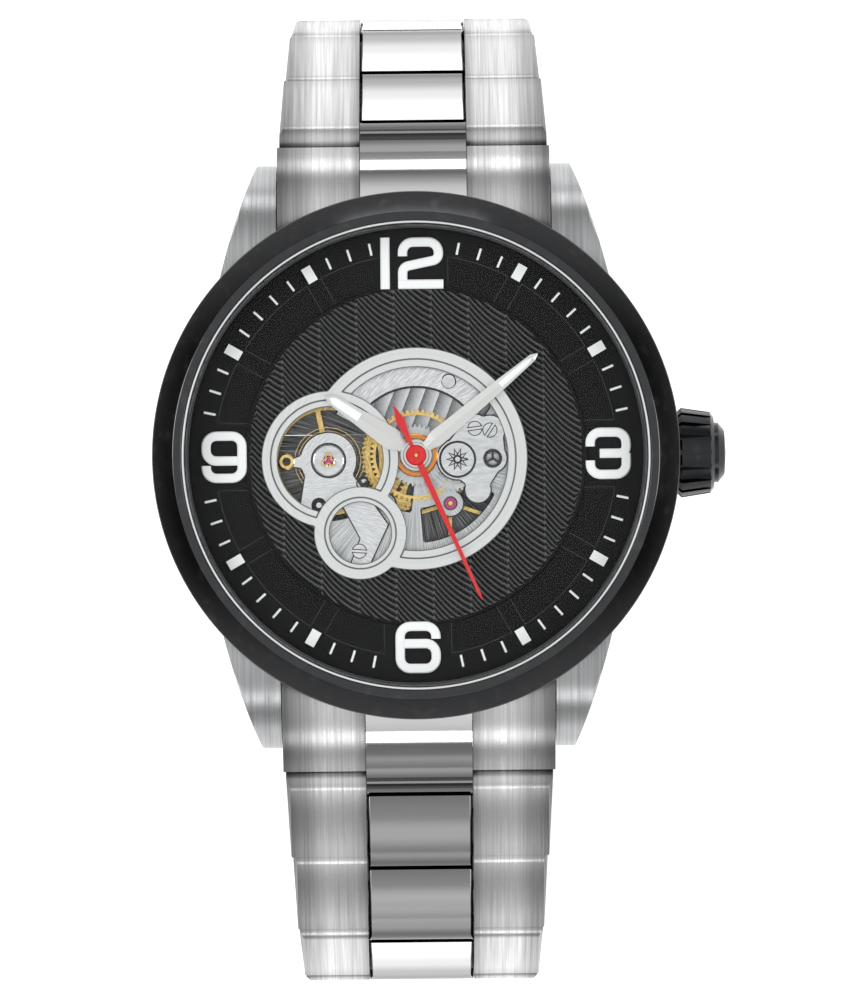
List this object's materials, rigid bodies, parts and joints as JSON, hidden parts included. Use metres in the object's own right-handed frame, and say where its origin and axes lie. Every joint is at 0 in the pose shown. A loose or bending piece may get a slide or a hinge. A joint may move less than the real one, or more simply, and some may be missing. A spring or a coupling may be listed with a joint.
{
  "type": "skeleton wristwatch",
  "caption": "Round wristwatch with a windowed dial over a modelled gear train, a black bezel, a side crown and a hinged three-column steel bracelet with a fold-over clasp.",
  "frame": {"origin": "on the hands' axis, at the case back's outer face", "axes": "+Z out of the dial, +Y towards 12 o'clock, +X towards the crown"},
  "size_m": [0.0458, 0.0799, 0.0591],
  "materials": {
    "brushed_steel_case": "brushed along the bracelet",
    "link_steel": "brushed outer columns, polished centre",
    "clasp_steel": "brushed",
    "steel_bars": "turned",
    "black_coating": "glossy black coating",
    "crown_black": "satin black coating",
    "crystal_glass": "clear polished",
    "seal_rubber": "matt",
    "dial_black": "glossy black, engine-turned",
    "frame_silver": "fine satin",
    "white_applied": "white",
    "hand_steel": "polished",
    "seconds_red": "gloss red",
    "plate_metal": "satin plated",
    "polished_steel": "polished",
    "ruby": "polished ruby",
    "gilt_brass": "gilt",
    "barrel_steel": "straight striped",
    "spring_alloy": "drawn strip",
    "ring_plastic": "matt black",
    "rotor_metal": "satin with stripes"
  },
  "bodies": {
    "case": {"case_middle": "brushed_steel_case", "bezel": "black_coating", "crystal": "crystal_glass", "case_seals": "seal_rubber", "case_back": "brushed_steel_case", "case_back_glass": "crystal_glass", "rehaut_ring": "black_coating", "crown_tube": "steel_bars", "dial": "dial_black", "dial_frame": "frame_silver", "dial_numerals": "white_applied", "dial_markers": "white_applied", "movement_ring": "ring_plastic", "mainplate": "plate_metal", "barrel_bridge": "plate_metal", "train_bridge": "plate_metal", "pallet_bridge": "plate_metal", "balance_cock": "plate_metal", "setting_plate": "polished_steel", "jewels": "ruby", "movement_screws": "polished_steel", "barrel_arbor": "steel_bars", "rotor_bearing": "polished_steel", "end_link_12": "brushed_steel_case", "end_link_6": "brushed_steel_case", "spring_bars": "steel_bars"},
    "seconds": {"fourth_wheel": "gilt_brass", "seconds_hand": "seconds_red"},
    "minutes": {"centre_wheel": "gilt_brass", "cannon_pinion": "gilt_brass", "minute_hand": "hand_steel"},
    "hours": {"hour_wheel": "gilt_brass", "hour_hand": "hand_steel"},
    "third": {"third_wheel": "gilt_brass"},
    "escape": {"escape_wheel": "gilt_brass"},
    "minute_work": {"minute_wheel": "gilt_brass"},
    "barrel": {"barrel": "barrel_steel", "mainspring": "spring_alloy"},
    "fork": {"pallet_fork": "polished_steel"},
    "balance": {"balance_wheel": "gilt_brass", "hairspring": "spring_alloy"},
    "winder": {"rotor": "rotor_metal"},
    "stem": {"winding_stem": "steel_bars"},
    "crown": {"crown": "crown_black"},
    "link_12_1": {"link_12_1": "link_steel"},
    "link_12_2": {"link_12_2": "link_steel"},
    "link_12_3": {"link_12_3": "link_steel"},
    "link_12_4": {"link_12_4": "link_steel"},
    "link_12_5": {"link_12_5": "link_steel"},
    "link_12_6": {"link_12_6": "link_steel"},
    "link_6_1": {"link_6_1": "link_steel"},
    "link_6_2": {"link_6_2": "link_steel"},
    "link_6_3": {"link_6_3": "link_steel"},
    "link_6_4": {"link_6_4": "link_steel"},
    "link_6_5": {"link_6_5": "link_steel"},
    "link_6_6": {"link_6_6": "link_steel"},
    "link_6_7": {"link_6_7": "link_steel"},
    "clasp_cover": {"clasp_cover": "clasp_steel"},
    "clasp_outer_blade": {"clasp_outer_blade": "clasp_steel"},
    "clasp_inner_blade": {"clasp_inner_blade": "clasp_steel"}
  },
  "joints": [
    {"name": "seconds_turn", "type": "hinge", "parent": "case", "child": "seconds", "pos_m": [0, 0, 0.006], "axis": [0, 0, -1], "continuous": true},
    {"name": "minute_turn", "type": "hinge", "parent": "case", "child": "minutes", "pos_m": [0, 0, 0.006], "axis": [0, 0, -1], "continuous": true},
    {"name": "hour_turn", "type": "hinge", "parent": "case", "child": "hours", "pos_m": [0, 0, 0.0074], "axis": [0, 0, -1], "continuous": true},
    {"name": "third_turn", "type": "hinge", "parent": "case", "child": "third", "pos_m": [0.0027, -0.00385, 0.005], "axis": [0, 0, -1], "continuous": true},
    {"name": "escape_turn", "type": "hinge", "parent": "case", "child": "escape", "pos_m": [-0.0026, -0.0039, 0.0047], "axis": [0, 0, -1], "continuous": true},
    {"name": "minute_work_turn", "type": "hinge", "parent": "case", "child": "minute_work", "pos_m": [0.00294, -0.0006, 0.0071], "axis": [0, 0, -1], "continuous": true},
    {"name": "barrel_turn", "type": "hinge", "parent": "case", "child": "barrel", "pos_m": [0.00113, 0.0064, 0.006], "axis": [0, 0, -1], "continuous": true},
    {"name": "fork_rock", "type": "hinge", "parent": "case", "child": "fork", "pos_m": [-0.005, -0.0026, 0.0047], "axis": [0, 0, 1], "range_deg": [-5, 5]},
    {"name": "balance_swing", "type": "hinge", "parent": "case", "child": "balance", "pos_m": [-0.007, -0.00034, 0.0055], "axis": [0, 0, 1], "range_deg": [-135, 135]},
    {"name": "rotor_turn", "type": "hinge", "parent": "case", "child": "winder", "pos_m": [0, 0, 0.0026], "axis": [0, 0, 1], "continuous": true},
    {"name": "crown_pull", "type": "slide", "parent": "case", "child": "stem", "axis": [1, 0, 0], "range_m": [0, 0.001]},
    {"name": "crown_turn", "type": "hinge", "parent": "stem", "child": "crown", "pos_m": [0.022, 0, 0.005], "axis": [1, 0, 0], "continuous": true},
    {"name": "hinge_12_1", "type": "hinge", "parent": "case", "child": "link_12_1", "pos_m": [0, 0.0253, 0.0015], "axis": [1, 0, 0], "range_deg": [0, 30]},
    {"name": "hinge_12_2", "type": "hinge", "parent": "link_12_1", "child": "link_12_2", "pos_m": [0, 0.0296, -0.00513], "axis": [1, 0, 0], "range_deg": [0, 12]},
    {"name": "hinge_12_3", "type": "hinge", "parent": "link_12_2", "child": "link_12_3", "pos_m": [0, 0.03343, -0.01204], "axis": [1, 0, 0], "range_deg": [0, 27]},
    {"name": "hinge_12_4", "type": "hinge", "parent": "link_12_3", "child": "link_12_4", "pos_m": [0, 0.0348, -0.01981], "axis": [1, 0, 0], "range_deg": [0, 30]},
    {"name": "hinge_12_5", "type": "hinge", "parent": "link_12_4", "child": "link_12_5", "pos_m": [0, 0.03316, -0.02754], "axis": [1, 0, 0], "range_deg": [0, 30]},
    {"name": "hinge_12_6", "type": "hinge", "parent": "link_12_5", "child": "link_12_6", "pos_m": [0, 0.02874, -0.03409], "axis": [1, 0, 0], "range_deg": [0, 29]},
    {"name": "hinge_6_1", "type": "hinge", "parent": "case", "child": "link_6_1", "pos_m": [0, -0.0258, 0.0015], "axis": [-1, 0, 0], "range_deg": [0, 12]},
    {"name": "hinge_6_2", "type": "hinge", "parent": "link_6_1", "child": "link_6_2", "pos_m": [0, -0.03194, -0.00347], "axis": [-1, 0, 0], "range_deg": [0, 9]},
    {"name": "hinge_6_3", "type": "hinge", "parent": "link_6_2", "child": "link_6_3", "pos_m": [0, -0.03799, -0.00855], "axis": [-1, 0, 0], "range_deg": [0, 31]},
    {"name": "hinge_6_4", "type": "hinge", "parent": "link_6_3", "child": "link_6_4", "pos_m": [0, -0.04158, -0.01559], "axis": [-1, 0, 0], "range_deg": [0, 33]},
    {"name": "hinge_6_5", "type": "hinge", "parent": "link_6_4", "child": "link_6_5", "pos_m": [0, -0.04185, -0.02348], "axis": [-1, 0, 0], "range_deg": [0, 32]},
    {"name": "hinge_6_6", "type": "hinge", "parent": "link_6_5", "child": "link_6_6", "pos_m": [0, -0.03889, -0.03081], "axis": [-1, 0, 0], "range_deg": [0, 31]},
    {"name": "hinge_6_7", "type": "hinge", "parent": "link_6_6", "child": "link_6_7", "pos_m": [0, -0.03331, -0.03639], "axis": [-1, 0, 0], "range_deg": [0, 25]},
    {"name": "clasp_cover_hinge", "type": "hinge", "parent": "link_12_6", "child": "clasp_cover", "pos_m": [0, 0.02227, -0.03862], "axis": [1, 0, 0], "range_deg": [0, 24]},
    {"name": "clasp_outer_hinge", "type": "hinge", "parent": "clasp_cover", "child": "clasp_outer_blade", "pos_m": [0, -0.021, -0.04321], "axis": [1, 0, 0], "range_deg": [0, 85]},
    {"name": "clasp_inner_hinge", "type": "hinge", "parent": "clasp_outer_blade", "child": "clasp_inner_blade", "pos_m": [0, 0.01578, -0.04185], "axis": [-1, 0, 0], "range_deg": [0, 60]}
  ],
  "couplings": [
    {"joint": "minute_turn", "follows": "seconds_turn", "ratio": 0.016667},
    {"joint": "hour_turn", "follows": "seconds_turn", "ratio": 0.0013889},
    {"joint": "third_turn", "follows": "seconds_turn", "ratio": -0.13333},
    {"joint": "escape_turn", "follows": "seconds_turn", "ratio": -12},
    {"joint": "minute_work_turn", "follows": "seconds_turn", "ratio": -0.0055556},
    {"joint": "barrel_turn", "follows": "seconds_turn", "ratio": -0.0027778}
  ]
}
